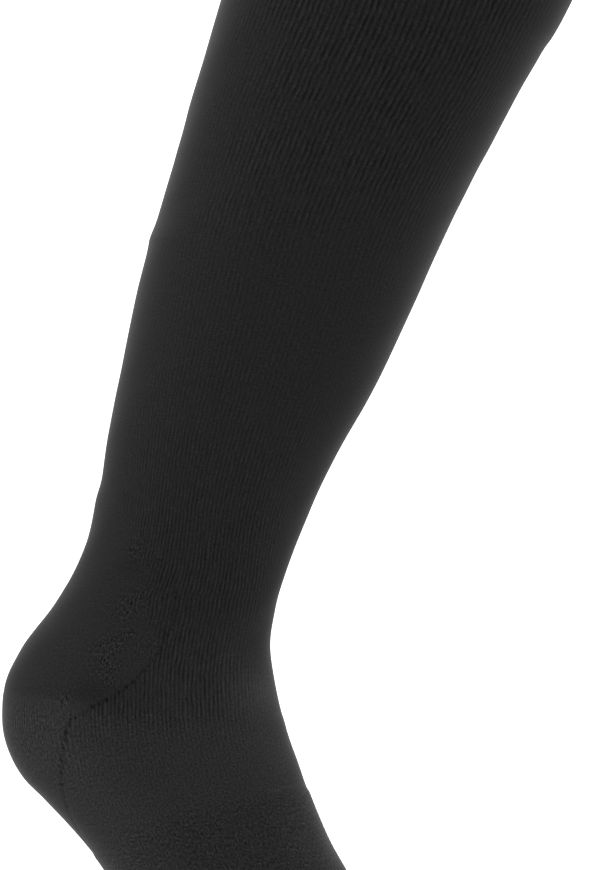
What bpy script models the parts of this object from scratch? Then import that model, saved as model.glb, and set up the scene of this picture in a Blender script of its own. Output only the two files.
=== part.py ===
"""Compression stocking: a knee-high knitted tube, hollow, filled out as on a leg.

The stocking is lofted through course lines, one row of SECTIONS for each.  A
course line is a closed curve in a plane square to the XZ plane.  It runs from a
point at the back of the stocking to a point at its front, and is as wide along Y
as its row says.  The knitted zones meet at course lines with a narrow gap.
The origin is the middle of the cuff's top opening.
"""
from typing import NamedTuple

import bmesh
import bpy
import numpy as np

MM = 0.001

# Driving dimensions, in millimetres and in counts.
WALL = 1.2                # knitted wall of the leg and foot
CUFF_WALL = 2.1           # the cuff is turned and sewn double
BAND_WALL = 1.6           # arch band, knitted firmer
SEAM_GAP = 0.3            # between one zone and the next
WALES = 144               # ribs round the leg
RIB_HEIGHT = 0.32
LEG_RIB_SHARE = 0.75      # the lower leg's ribs against the calf's
FRONT_WALES = 120         # those of them that keep an even pitch past the ankle
COLUMNS = 48              # facets round a plain zone and round every inside
RING_SAMPLES = 360        # points that measure the way round a course line
TIP_RISE = 2.0            # how far the toe's end stands beyond its last section
SLOPE_STEP = 0.4          # step along the stocking that measures its slope
TURN_STEP = 0.002         # step round the stocking, as a share of its girth


class Section(NamedTuple):
    """A course line.

    back_x to front_z place its two ends, and width is its size along Y.  At a
    bluntness of 1 an end is elliptical, above 1 sharper and below 1 flatter.
    """

    name: str
    back_x: float
    back_z: float
    front_x: float
    front_z: float
    width: float
    back_bluntness: float
    front_bluntness: float


SECTIONS = (
    Section("cuff_top", -58.5, 23.5, 58.5, -23.5, 113, 1.00, 1.00),
    Section("cuff_mid", -67.5, 3.0, 49.5, -48.0, 115, 1.00, 1.01),
    Section("cuff_low", -74.5, -16.5, 39.0, -66.0, 114, 1.00, 1.02),
    Section("calf_full", -86.0, -52.5, 24.8, -91.5, 110, 0.98, 1.04),
    Section("calf_under", -99.7, -98.5, 10.3, -119.0, 104, 0.98, 1.05),
    Section("calf_line", -112.3, -140.5, -4.7, -150.0, 98, 1.00, 1.05),
    Section("shin_high", -118.0, -164.5, -16.0, -175.0, 92, 1.02, 1.04),
    Section("shin_mid", -123.4, -189.5, -29.2, -202.0, 84, 1.04, 1.03),
    Section("shin_low", -128.3, -213.5, -42.2, -225.0, 75, 1.07, 1.02),
    Section("ankle_high", -132.0, -237.0, -53.0, -248.5, 67, 1.10, 1.00),
    Section("ankle", -137.8, -260.5, -60.8, -268.0, 63, 1.12, 1.00),
    Section("ankle_low", -148.7, -280.0, -65.0, -283.0, 65, 1.10, 0.98),
    Section("ankle_bones", -162.2, -298.5, -66.8, -298.5, 69, 1.03, 0.98),
    Section("heel_line", -169.5, -319.0, -62.5, -322.0, 69, 0.96, 0.98),
    Section("heel_back", -169.0, -329.0, -61.3, -325.5, 68, 0.94, 0.98),
    Section("heel_round", -166.5, -338.0, -60.0, -329.5, 67, 0.93, 0.98),
    Section("heel_under", -161.5, -347.0, -58.5, -333.5, 66, 0.92, 0.98),
    Section("heel_sole", -153.8, -355.0, -57.0, -337.5, 65, 0.90, 0.98),
    Section("heel_end", -144.8, -364.5, -54.7, -344.0, 66, 0.88, 0.98),
    Section("band_line", -135.3, -375.5, -52.3, -351.0, 69, 0.86, 1.00),
    Section("band_mid", -124.0, -391.0, -43.2, -372.5, 74, 0.84, 1.00),
    Section("band_end", -107.5, -409.5, -33.2, -391.0, 80, 0.82, 1.00),
    Section("instep", -92.0, -427.0, -26.5, -404.0, 87, 0.78, 1.00),
    Section("ball", -74.5, -445.5, -19.5, -420.5, 92, 0.74, 0.98),
    Section("toe_line", -53.5, -467.0, -10.5, -440.0, 91, 0.76, 0.92),
    Section("toe_root", -38.0, -481.0, -4.0, -456.5, 85, 0.80, 0.86),
    Section("toe_mid", -26.0, -491.5, 0.5, -470.5, 74, 0.84, 0.86),
    Section("toe_end", -16.5, -498.5, 2.5, -482.0, 57, 0.88, 0.90),
    Section("toe_tip", -8.5, -501.0, 2.0, -491.0, 36, 0.95, 0.95),
)

# Widest pitch of the front wales below the ankle: what the heel adds to the girth
# is taken up at the back.
WALE_PITCH = (
    ("ankle", 1.56),
    ("heel_line", 1.66),
)

# The cushion at the back of the ankle has no ribs.  Each row gives how far it
# reaches from the middle of the back, as a share of the girth.
CUSHION_REACH = (
    ("shin_low", 0.0),
    ("ankle_high", 0.07),
    ("ankle_low", 0.27),
    ("ankle_bones", 0.22),
    ("heel_line", 0.16),
)


class Zone(NamedTuple):
    """A knitted zone between two course lines, and how finely it is faceted."""

    name: str
    first: str
    last: str
    wall: float
    rib_share: float
    strips: int
    colour: float


ZONES = (
    Zone("cuff", "cuff_top", "cuff_low", CUFF_WALL, 0.0, 3, 0.016),
    Zone("calf", "cuff_low", "calf_line", WALL, 1.0, 4, 0.014),
    Zone("leg", "calf_line", "ankle_high", WALL, LEG_RIB_SHARE, 5, 0.014),
    Zone("ankle", "ankle_high", "heel_line", WALL, LEG_RIB_SHARE, 6, 0.014),
    Zone("heel", "heel_line", "band_line", WALL, 0.0, 7, 0.019),
    Zone("arch_band", "band_line", "band_end", BAND_WALL, 0.0, 3, 0.015),
    Zone("foot", "band_end", "toe_line", WALL, 0.0, 4, 0.019),
    Zone("toe", "toe_line", "toe_tip", WALL, 0.0, 6, 0.017),
)


def section_stations() -> np.ndarray:
    """Distance of each section along the stocking, midway between back and front."""
    ends = np.array([(s.back_x, s.back_z, s.front_x, s.front_z) for s in SECTIONS])
    steps = np.diff(ends, axis=0)
    back_steps = np.hypot(steps[:, 0], steps[:, 1])
    front_steps = np.hypot(steps[:, 2], steps[:, 3])
    return np.concatenate(([0.0], np.cumsum((back_steps + front_steps) / 2)))


STATIONS = section_stations()
STATION_OF = {section.name: station for section, station in zip(SECTIONS, STATIONS)}
SIZES = np.array([section[1:] for section in SECTIONS], dtype=float)
SIZE_SLOPES = np.gradient(SIZES, STATIONS, axis=0)


def sizes_at(station: float) -> np.ndarray:
    """A section's numbers at any station, on smooth curves through the table."""
    span = int(np.clip(np.searchsorted(STATIONS, station) - 1, 0, len(STATIONS) - 2))
    length = STATIONS[span + 1] - STATIONS[span]
    t = (station - STATIONS[span]) / length
    start, end = SIZES[span], SIZES[span + 1]
    start_slope = SIZE_SLOPES[span] * length
    end_slope = SIZE_SLOPES[span + 1] * length
    return (
        (2 * t**3 - 3 * t**2 + 1) * start
        + (t**3 - 2 * t**2 + t) * start_slope
        + (3 * t**2 - 2 * t**3) * end
        + (t**3 - t**2) * end_slope
    )


def course_shape(station: float) -> tuple:
    """A course line as samples: distance round, distance forward (0 to 1), and side."""
    back_x, back_z, front_x, front_z, width, back_blunt, front_blunt = sizes_at(station)
    turn = np.linspace(0.0, 2 * np.pi, RING_SAMPLES + 1)
    forward = (1 - np.cos(turn)) / 2
    bluntness = back_blunt * (1 - forward) + front_blunt * forward
    side = np.sign(np.sin(turn)) * np.abs(np.sin(turn)) ** bluntness * width / 2
    depth = np.hypot(front_x - back_x, front_z - back_z)
    lengths = np.hypot(np.diff(forward * depth), np.diff(side))
    return np.concatenate(([0.0], np.cumsum(lengths))), forward, side


def course_line(station: float, shares: np.ndarray) -> np.ndarray:
    """Points of a course line at shares of its girth, from the middle of the back."""
    travelled, forward, side = course_shape(station)
    back_x, back_z, front_x, front_z = sizes_at(station)[:4]
    distances = np.mod(shares, 1.0) * travelled[-1]
    ahead = np.interp(distances, travelled, forward)
    aside = np.interp(distances, travelled, side)
    return np.stack(
        (back_x + (front_x - back_x) * ahead, aside, back_z + (front_z - back_z) * ahead),
        axis=1,
    )


def column_shares(station: float, count: int) -> np.ndarray:
    """Shares of the girth at which the knit's columns cross a course line.

    The columns are even round the leg.  From the ankle on, those at the front keep
    the wales' own pitch and those at the back share out the rest.
    """
    even = np.arange(count) / count
    if station <= STATION_OF["ankle"]:
        return even
    girth = course_shape(station)[0][-1]
    widest = np.interp(station, [STATION_OF[name] for name, _ in WALE_PITCH],
                       [pitch for _, pitch in WALE_PITCH])
    pitch_share = min(1.0 / WALES, widest / girth)
    front_edge = 0.5 - FRONT_WALES / 2 / WALES
    back_share = 0.5 - FRONT_WALES / 2 * pitch_share
    return np.interp(even, (0.0, front_edge, 1.0 - front_edge, 1.0),
                     (0.0, back_share, 1.0 - back_share, 1.0))


def ring(station: float, shares: np.ndarray, lift, along: float = 0.0) -> np.ndarray:
    """A course line's points, lifted off the surface and moved along the stocking."""
    before = max(station - SLOPE_STEP, STATIONS[0])
    after = min(station + SLOPE_STEP, STATIONS[-1])
    down = course_line(after, shares) - course_line(before, shares)
    down /= np.linalg.norm(down, axis=1, keepdims=True)
    turn = course_line(station, shares + TURN_STEP) - course_line(station, shares - TURN_STEP)
    outward = np.cross(turn, down)
    outward /= np.linalg.norm(outward, axis=1, keepdims=True)
    lift = np.broadcast_to(lift, shares.shape)[:, None]
    return course_line(station, shares) + outward * lift + down * along


def cushion_reach(station: float) -> float:
    """How far the unribbed cushion reaches from the middle of the back."""
    rows = [STATION_OF[name] for name, _ in CUSHION_REACH]
    reaches = [reach for _, reach in CUSHION_REACH]
    return float(np.interp(station, rows, reaches, left=0.0, right=0.0))


def rib_lift(zone: Zone, station: float, shares: np.ndarray) -> np.ndarray:
    """Height of the ribs: columns are ridge and furrow by turns, not on the cushion."""
    ridge_or_furrow = np.arange(len(shares)) % 2 - 0.5
    from_back = np.minimum(shares, 1.0 - shares)
    ribbed = from_back > cushion_reach(station)
    return RIB_HEIGHT * zone.rib_share * ridge_or_furrow * ribbed


def add_loop(mesh: bmesh.types.BMesh, points: np.ndarray) -> list:
    """Vertices of one closed loop, given in millimetres."""
    return [mesh.verts.new(point * MM) for point in points]


def join_loops(mesh: bmesh.types.BMesh, fine: list, coarse: list) -> None:
    """Faces between two loops, of which one has a whole multiple of the other's points."""
    ratio = len(fine) // len(coarse)
    for index in range(len(coarse)):
        near = coarse[index]
        far = coarse[(index + 1) % len(coarse)]
        edge = [fine[(index * ratio + step) % len(fine)] for step in range(ratio + 1)]
        if ratio == 1:
            mesh.faces.new((near, far, edge[1], edge[0]))
            continue
        middle = ratio // 2
        for step in range(ratio):
            mesh.faces.new((near if step < middle else far, edge[step + 1], edge[step]))
        mesh.faces.new((near, far, edge[middle]))


def close_end(mesh: bmesh.types.BMesh, loop: list, outward: float) -> None:
    """A low cone over the toe's last loop, whose point stands out by outward."""
    centre = np.mean([vertex.co for vertex in loop], axis=0)
    last, before = SIZES[-1], SIZES[-2]
    way = np.array([last[0] + last[2] - before[0] - before[2], 0.0,
                    last[1] + last[3] - before[1] - before[3]])
    point = mesh.verts.new(centre + way / np.linalg.norm(way) * outward * MM)
    for start, end in zip(loop, loop[1:] + loop[:1]):
        mesh.faces.new((start, end, point))


def knitted_wall(zone: Zone) -> bpy.types.Mesh:
    """A zone's closed wall: a ribbed or plain outside over a plain inside."""
    outside_count = 2 * WALES if zone.rib_share else COLUMNS
    first, last = STATION_OF[zone.first], STATION_OF[zone.last]
    stations = np.linspace(first, last, zone.strips + 1)
    is_toe = zone is ZONES[-1]
    insets = np.zeros(len(stations))
    insets[0] = 0.0 if zone is ZONES[0] else SEAM_GAP / 2
    insets[-1] = 0.0 if is_toe else -SEAM_GAP / 2

    mesh = bmesh.new()
    outside, inside = [], []
    for station, inset in zip(stations, insets):
        outside_shares = column_shares(station, outside_count)
        inside_shares = column_shares(station, COLUMNS)
        ribs = rib_lift(zone, station, outside_shares) if zone.rib_share else 0.0
        outer = ring(station, outside_shares, ribs + zone.wall - WALL, inset)
        inner = ring(station, inside_shares, -WALL, inset)
        outside.append(add_loop(mesh, outer))
        inside.append(add_loop(mesh, inner))
    for loops in (outside, inside):
        for upper, lower in zip(loops, loops[1:]):
            join_loops(mesh, upper, lower)
    join_loops(mesh, outside[0], inside[0])
    if is_toe:
        close_end(mesh, outside[-1], TIP_RISE)
        close_end(mesh, inside[-1], TIP_RISE - WALL)
    else:
        join_loops(mesh, outside[-1], inside[-1])
    bmesh.ops.recalc_face_normals(mesh, faces=mesh.faces)

    data = bpy.data.meshes.new(zone.name)
    mesh.to_mesh(data)
    mesh.free()
    data.shade_smooth()
    return data


def yarn(zone: Zone) -> bpy.types.Material:
    """Matt black stretch yarn."""
    material = bpy.data.materials.new(f"{zone.name}_knit")
    material.use_nodes = True
    shader = material.node_tree.nodes["Principled BSDF"]
    shader.inputs["Base Color"].default_value = (zone.colour, zone.colour, zone.colour, 1.0)
    shader.inputs["Roughness"].default_value = 0.85
    shader.inputs["Metallic"].default_value = 0.0
    return material


def main() -> None:
    """Build every zone in one collection."""
    for old in list(bpy.data.objects):
        bpy.data.objects.remove(old, do_unlink=True)
    collection = bpy.data.collections.new("compression_stocking")
    bpy.context.scene.collection.children.link(collection)
    for zone in ZONES:
        data = knitted_wall(zone)
        data.materials.append(yarn(zone))
        collection.objects.link(bpy.data.objects.new(zone.name, data))


main()
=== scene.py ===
"""Looks of a knee-high compression stocking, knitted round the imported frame.

The stocking is one knitted tube.  Its form is a row of course lines: closed curves
in planes square to the XZ plane, placed by their two ends.  A station is the
distance along the tube from the cuff's top, in millimetres.  A share is the way
round a course line from the middle of the back, from 0 to 1, and the front is at
one half.  A wale is one column of stitches, 156 of them round the leg.
"""

import logging
import math
from dataclasses import dataclass, field
from enum import Enum
from typing import NamedTuple

import bmesh
import bpy
import numpy as np
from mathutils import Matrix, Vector


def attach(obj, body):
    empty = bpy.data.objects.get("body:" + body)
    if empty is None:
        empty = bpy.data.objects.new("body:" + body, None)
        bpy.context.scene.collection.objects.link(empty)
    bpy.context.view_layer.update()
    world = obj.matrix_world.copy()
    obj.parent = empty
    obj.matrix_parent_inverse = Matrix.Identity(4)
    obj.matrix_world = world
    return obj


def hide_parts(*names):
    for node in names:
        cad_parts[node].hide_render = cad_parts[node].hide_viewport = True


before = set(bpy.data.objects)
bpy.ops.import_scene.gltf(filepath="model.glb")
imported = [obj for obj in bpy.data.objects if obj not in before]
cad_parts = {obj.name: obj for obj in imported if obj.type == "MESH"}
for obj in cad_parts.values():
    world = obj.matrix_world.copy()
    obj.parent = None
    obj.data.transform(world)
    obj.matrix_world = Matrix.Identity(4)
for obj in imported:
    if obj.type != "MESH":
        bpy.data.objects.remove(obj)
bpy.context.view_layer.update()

LOG = logging.getLogger("stocking")

MM = 0.001                      # a millimetre, in metres
WALES = 156                     # columns of stitches round the leg
HALF = WALES / 2                # the wale at the middle of the front
WALL = 1.2                      # the knitted wall, in millimetres
FRONT = 0.5                     # the share at the middle of the front
FULL_TURN = 2.0 * math.pi
KNIT_MAP = "knit_map"
KNIT_LENGTH = 560.0             # the map's length, to the nearest millimetre
KNIT_MARKS = ("tone", "ribbing", "bobbles", "floats", "float_row", "cap", "back_distance")
GORE_MARKS = ("gore_along", "gore_across", "gore_plain")
LEG_GREY = 0.0123               # the leg yarn's colour, linear
WELD_DISTANCE = 0.00001
SHARP_ANGLE = math.radians(70.0)


class Section(NamedTuple):
    """A course line.

    back_x to front_z place its two ends, and width is its size along Y.  At a
    bluntness of 1 an end is elliptical, above 1 sharper and below 1 flatter.
    """

    name: str
    back_x: float
    back_z: float
    front_x: float
    front_z: float
    width: float
    back_bluntness: float
    front_bluntness: float


SECTIONS = (
    Section("cuff_top", -58.5, 23.5, 58.5, -23.5, 113, 1.00, 1.00),
    Section("cuff_mid", -67.5, 3.0, 49.5, -48.0, 115, 1.00, 1.01),
    Section("cuff_low", -74.5, -16.5, 39.0, -66.0, 114, 1.00, 1.02),
    Section("calf_full", -86.0, -52.5, 24.8, -91.5, 110, 0.98, 1.04),
    Section("calf_under", -99.7, -98.5, 10.3, -119.0, 104, 0.98, 1.05),
    Section("calf_line", -112.3, -140.5, -4.7, -150.0, 98, 1.00, 1.05),
    Section("shin_high", -118.0, -164.5, -16.0, -175.0, 92, 1.02, 1.04),
    Section("shin_mid", -123.4, -189.5, -29.2, -202.0, 84, 1.04, 1.03),
    Section("shin_low", -128.3, -213.5, -42.2, -225.0, 75, 1.07, 1.02),
    Section("ankle_high", -132.0, -237.0, -53.0, -248.5, 67, 1.10, 1.00),
    Section("ankle", -137.8, -260.5, -60.8, -268.0, 63, 1.12, 1.00),
    Section("ankle_low", -148.7, -280.0, -65.0, -283.0, 65, 1.10, 0.98),
    Section("ankle_bones", -162.2, -298.5, -66.8, -298.5, 69, 1.03, 0.98),
    Section("heel_line", -169.5, -319.0, -62.5, -322.0, 69, 0.96, 0.98),
    Section("heel_back", -169.0, -329.0, -61.3, -325.5, 68, 0.94, 0.98),
    Section("heel_round", -166.5, -338.0, -60.0, -329.5, 67, 0.93, 0.98),
    Section("heel_under", -161.5, -347.0, -58.5, -333.5, 66, 0.92, 0.98),
    Section("heel_sole", -153.8, -355.0, -57.0, -337.5, 65, 0.90, 0.98),
    Section("heel_end", -144.8, -364.5, -54.7, -344.0, 66, 0.88, 0.98),
    Section("band_line", -135.3, -375.5, -52.3, -351.0, 69, 0.86, 1.00),
    Section("band_mid", -124.0, -391.0, -43.2, -372.5, 74, 0.84, 1.00),
    Section("band_end", -107.5, -409.5, -33.2, -391.0, 80, 0.82, 1.00),
    Section("instep", -92.0, -427.0, -26.5, -404.0, 87, 0.78, 1.00),
    Section("ball", -74.5, -445.5, -19.5, -420.5, 92, 0.74, 0.98),
    Section("toe_line", -53.5, -467.0, -10.5, -440.0, 91, 0.76, 0.92),
    Section("toe_root", -38.0, -481.0, -4.0, -456.5, 85, 0.80, 0.86),
    Section("toe_mid", -26.0, -491.5, 0.5, -470.5, 74, 0.84, 0.86),
    Section("toe_end", -16.5, -498.5, 2.5, -482.0, 57, 0.88, 0.90),
    Section("toe_tip", -8.5, -501.0, 2.0, -491.0, 36, 0.95, 0.95),
)


class Knot(NamedTuple):
    """A value at a station."""

    station: float
    value: float


class Spot(NamedTuple):
    """A place on one side of the stocking: a station and a share from the back."""

    station: float
    share: float


def knots(*pairs: tuple[float, float]) -> tuple[Knot, ...]:
    """Make a table of knots from pairs of a station and a value."""
    return tuple(Knot(*pair) for pair in pairs)


def spots(*pairs: tuple[float, float]) -> tuple[Spot, ...]:
    """Make the spots of a line from pairs of a station and a share."""
    return tuple(Spot(*pair) for pair in pairs)


def eased(t: np.ndarray | float) -> np.ndarray | float:
    """Bend a rise from 0 to 1 so that it starts and ends level."""
    return t * t * (3.0 - 2.0 * t)


def along(table: tuple[Knot, ...], stations: np.ndarray) -> np.ndarray:
    """Read a table of knots at many stations.

    Args:
        table: The knots, by rising station.
        stations: Where to read them.

    Returns:
        The values, straight between knots and constant past the ends.
    """
    return np.interp(stations, [k.station for k in table], [k.value for k in table])


def smooth_along(table: tuple[Knot, ...], stations: np.ndarray) -> np.ndarray:
    """Read a table of knots at many stations, level at every knot.

    Args:
        table: The knots, by rising station.
        stations: Where to read them.

    Returns:
        The values, constant past the ends.
    """
    places = np.interp(stations, [k.station for k in table], np.arange(len(table)))
    lower = np.minimum(np.floor(places).astype(int), len(table) - 2)
    values = np.array([k.value for k in table])
    return values[lower] + (values[lower + 1] - values[lower]) * eased(places - lower)


def curve_along(table: tuple[Knot, ...], station: float) -> float:
    """Read a table of knots at one station, on a smooth curve through the knots.

    Args:
        table: The knots, by rising station.
        station: Where to read them.

    Returns:
        The value, constant past the ends.
    """
    places = np.array([k.station for k in table])
    values = np.array([k.value for k in table])
    slopes = np.gradient(values, places)
    span = int(np.clip(np.searchsorted(places, station) - 1, 0, len(table) - 2))
    length = places[span + 1] - places[span]
    t = min(max((station - places[span]) / length, 0.0), 1.0)
    level = values[span] + (values[span + 1] - values[span]) * eased(t)
    bend = slopes[span] * (1.0 - t) - slopes[span + 1] * t
    return float(level + length * t * (1.0 - t) * bend)


def soft_step(values: np.ndarray, start: float, end: float) -> np.ndarray:
    """Rise smoothly from 0 at start to 1 at end.

    Args:
        values: Where to read the step.
        start: The value at which it leaves 0.
        end: The value at which it reaches 1.

    Returns:
        The step, with the shape of values.
    """
    return eased(np.clip((values - start) / (end - start), 0.0, 1.0))


@dataclass
class StockingForm:
    """The tube's form: course lines on smooth curves through the sections.

    Attributes:
        sections: The course lines that it runs through.
        samples: How many steps a course line is measured in.
        slope_step: How far up and down the cloth's slope is read, in millimetres.
        turn_step: How far to each side its turn is read, in shares.
        stations: The sections' stations.
        sizes: The sections' numbers, without their names.
        slopes: How fast the numbers change along the tube.
    """

    sections: tuple[Section, ...] = SECTIONS
    samples: int = 360
    slope_step: float = 0.4
    turn_step: float = 0.002
    stations: np.ndarray = field(init=False)
    sizes: np.ndarray = field(init=False)
    slopes: np.ndarray = field(init=False)

    def __post_init__(self) -> None:
        """Measure the sections along the tube and the slope of their sizes."""
        self.sizes = np.array([section[1:] for section in self.sections], dtype=float)
        steps = np.diff(self.sizes[:, :4], axis=0)
        back = np.hypot(steps[:, 0], steps[:, 1])
        front = np.hypot(steps[:, 2], steps[:, 3])
        self.stations = np.concatenate(([0.0], np.cumsum((back + front) / 2)))
        self.slopes = np.gradient(self.sizes, self.stations, axis=0)

    def station(self, name: str) -> float:
        """Return the station of a named section."""
        return float(self.stations[[s.name for s in self.sections].index(name)])

    def sizes_at(self, station: float) -> np.ndarray:
        """Read the form at any station.

        Args:
            station: Where the course lies.

        Returns:
            The numbers of a section there, without a name.
        """
        last = len(self.stations) - 2
        span = int(np.clip(np.searchsorted(self.stations, station) - 1, 0, last))
        length = self.stations[span + 1] - self.stations[span]
        t = (station - self.stations[span]) / length
        return (
            (2 * t**3 - 3 * t**2 + 1) * self.sizes[span]
            + (t**3 - 2 * t**2 + t) * self.slopes[span] * length
            + (3 * t**2 - 2 * t**3) * self.sizes[span + 1]
            + (t**3 - t**2) * self.slopes[span + 1] * length
        )

    def course_shape(self, station: float) -> tuple[np.ndarray, np.ndarray, np.ndarray]:
        """Sample a course line.

        Args:
            station: Where the course lies.

        Returns:
            The distance round, the share forward and the way aside of each sample.
        """
        sizes = self.sizes_at(station)
        back_x, back_z, front_x, front_z, width, back_blunt, front_blunt = sizes
        turn = np.linspace(0.0, FULL_TURN, self.samples + 1)
        forward = (1 - np.cos(turn)) / 2
        bluntness = back_blunt * (1 - forward) + front_blunt * forward
        aside = np.sign(np.sin(turn)) * np.abs(np.sin(turn)) ** bluntness * width / 2
        depth = math.hypot(front_x - back_x, front_z - back_z)
        lengths = np.hypot(np.diff(forward * depth), np.diff(aside))
        return np.concatenate(([0.0], np.cumsum(lengths))), forward, aside

    def girth(self, station: float) -> float:
        """Return the way round the tube at a station."""
        return float(self.course_shape(station)[0][-1])

    def course_line(self, station: float, shares: np.ndarray) -> np.ndarray:
        """Place points on a course line.

        Args:
            station: Where the course lies.
            shares: The places round it.

        Returns:
            A point for each share, in millimetres.
        """
        travelled, forward, aside = self.course_shape(station)
        back_x, back_z, front_x, front_z = self.sizes_at(station)[:4]
        distances = np.mod(shares, 1.0) * travelled[-1]
        ahead = np.interp(distances, travelled, forward)
        beside = np.interp(distances, travelled, aside)
        return np.stack(
            (back_x + (front_x - back_x) * ahead, beside, back_z + (front_z - back_z) * ahead),
            axis=1,
        )

    def course_frame(
        self, station: float, shares: np.ndarray
    ) -> tuple[np.ndarray, np.ndarray, np.ndarray]:
        """Find the points of a course and the directions of the cloth there.

        Args:
            station: Where the course lies.
            shares: The places round it.

        Returns:
            The points, the unit directions out of the cloth and down along it.
        """
        before = max(station - self.slope_step, self.stations[0])
        after = min(station + self.slope_step, self.stations[-1])
        down = self.course_line(after, shares) - self.course_line(before, shares)
        down /= np.linalg.norm(down, axis=1, keepdims=True)
        ahead = self.course_line(station, shares + self.turn_step)
        turn = ahead - self.course_line(station, shares - self.turn_step)
        outward = np.cross(turn, down)
        outward /= np.linalg.norm(outward, axis=1, keepdims=True)
        return self.course_line(station, shares), outward, down


@dataclass
class WaleRun:
    """How the wales run down the tube.

    On the leg they widen from the back to the front.  From the ankle on, those of the
    front keep a pitch of their own, and those of the back share out what the heel adds
    to the girth.  The whole knit also twists a little on the leg.

    Attributes:
        form: The tube's form.
        front_reach: How many wales on each side of the front keep their own pitch.
        leg_spreads: How much wider the leg's wales are at the front.
        foot_spread: The same for the wales of the front from the ankle on.
        foot_start: The station where the leg's way of running starts to give way.
        foot_full: The station from which the foot's way holds alone.
        widest: The widest pitch of a wale at the front, as a share of the mean one.
        pitches: The pitch of the front's wales, in millimetres.
        twist: How far the knit is turned round the leg, in shares.
    """

    form: StockingForm
    front_reach: float = 64.0
    leg_spreads: tuple[Knot, ...] = knots((60.0, 0.08), (180.0, 0.10), (250.0, 0.20))
    foot_spread: float = 0.12
    foot_start: float = 262.0
    foot_full: float = 300.0
    widest: float = 1.10
    pitches: tuple[Knot, ...] = knots((284.0, 1.60), (322.0, 1.62), (345.0, 1.67))
    twist: tuple[Knot, ...] = knots(
        (10.0, 0.0), (75.0, -0.009), (114.0, 0.0), (162.0, 0.0), (190.0, -0.0075),
        (215.0, -0.019), (245.0, -0.0355), (264.0, -0.0455), (276.0, -0.0590), (286.0, -0.0735),
        (297.0, -0.0840), (304.0, -0.0830), (313.0, -0.0765), (325.0, -0.0670), (337.0, -0.0585),
        (352.0, -0.0545), (370.0, -0.0545),
    )

    def shares(self, station: float, wales: np.ndarray) -> np.ndarray:
        """Find the shares at which wales cross a course.

        Args:
            station: Where the course lies.
            wales: Wale numbers, counted round from the middle of the back.

        Returns:
            Their shares of the girth, turned by the twist.
        """
        from_front = np.abs(wales - HALF)
        swing = HALF / math.pi * np.sin(from_front / HALF * math.pi)
        here = np.array(station)
        leg = (from_front + float(along(self.leg_spreads, here)) * swing) / WALES
        pitch = float(along(self.pitches, here)) / self.form.girth(station)
        pitch = min(pitch, self.widest / WALES)
        edge_swing = HALF / math.pi * math.sin(self.front_reach / HALF * math.pi)
        edge = pitch * (self.front_reach + self.foot_spread * edge_swing)
        past = (from_front - self.front_reach) / (HALF - self.front_reach)
        near = pitch * (from_front + self.foot_spread * swing)
        foot = np.where(past > 0.0, edge + (FRONT - edge) * past, near)
        blend = float(soft_step(here, self.foot_start, self.foot_full))
        aside = leg + (foot - leg) * blend
        return FRONT + np.sign(wales - HALF) * aside + curve_along(self.twist, station)


class Sway(NamedTuple):
    """A slow sway that keeps a pattern from lining up."""

    reach: float
    pace: float

    def at(self, turn: np.ndarray) -> np.ndarray:
        """Return the sway where the pattern has come to turn."""
        return self.reach * np.sin(self.pace * turn)


@dataclass
class ClothGrid:
    """One zone's cloth as a table of places, which the reliefs read.

    Each array has a row for each course and a column for each place round it.

    Attributes:
        stations: The station of each place.
        wales: Its wale, counted round from the middle of the back.
        from_back: Its share from the back, on whichever side it lies.
        back_distance: The same in millimetres.
        girths: The way round the tube there, in millimetres.
    """

    stations: np.ndarray
    wales: np.ndarray
    from_back: np.ndarray
    back_distance: np.ndarray
    girths: np.ndarray


class Blot(NamedTuple):
    """A soft-edged place where something is stronger or weaker than round it.

    length is in millimetres, width in shares, and change is a share of the strength.
    """

    station: float
    share: float
    length: float
    width: float
    change: float


def blotted(blots: tuple[Blot, ...], grid: ClothGrid) -> np.ndarray:
    """Gather blots into one factor.

    Args:
        blots: The places that differ.
        grid: The cloth's places.

    Returns:
        What the blots multiply a strength by at each place.
    """
    factor = np.ones(grid.stations.shape)
    for blot in blots:
        down = (grid.stations - blot.station) / blot.length
        aside = (grid.from_back - blot.share) / blot.width
        factor *= 1.0 + blot.change * np.exp(-(down**2) - aside**2)
    return factor


class Relief:
    """What raises or sinks the outside of the cloth."""

    def lift(self, grid: ClothGrid) -> np.ndarray:
        """Return the height over the cloth at each place, in millimetres."""
        return np.zeros(grid.stations.shape)


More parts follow.
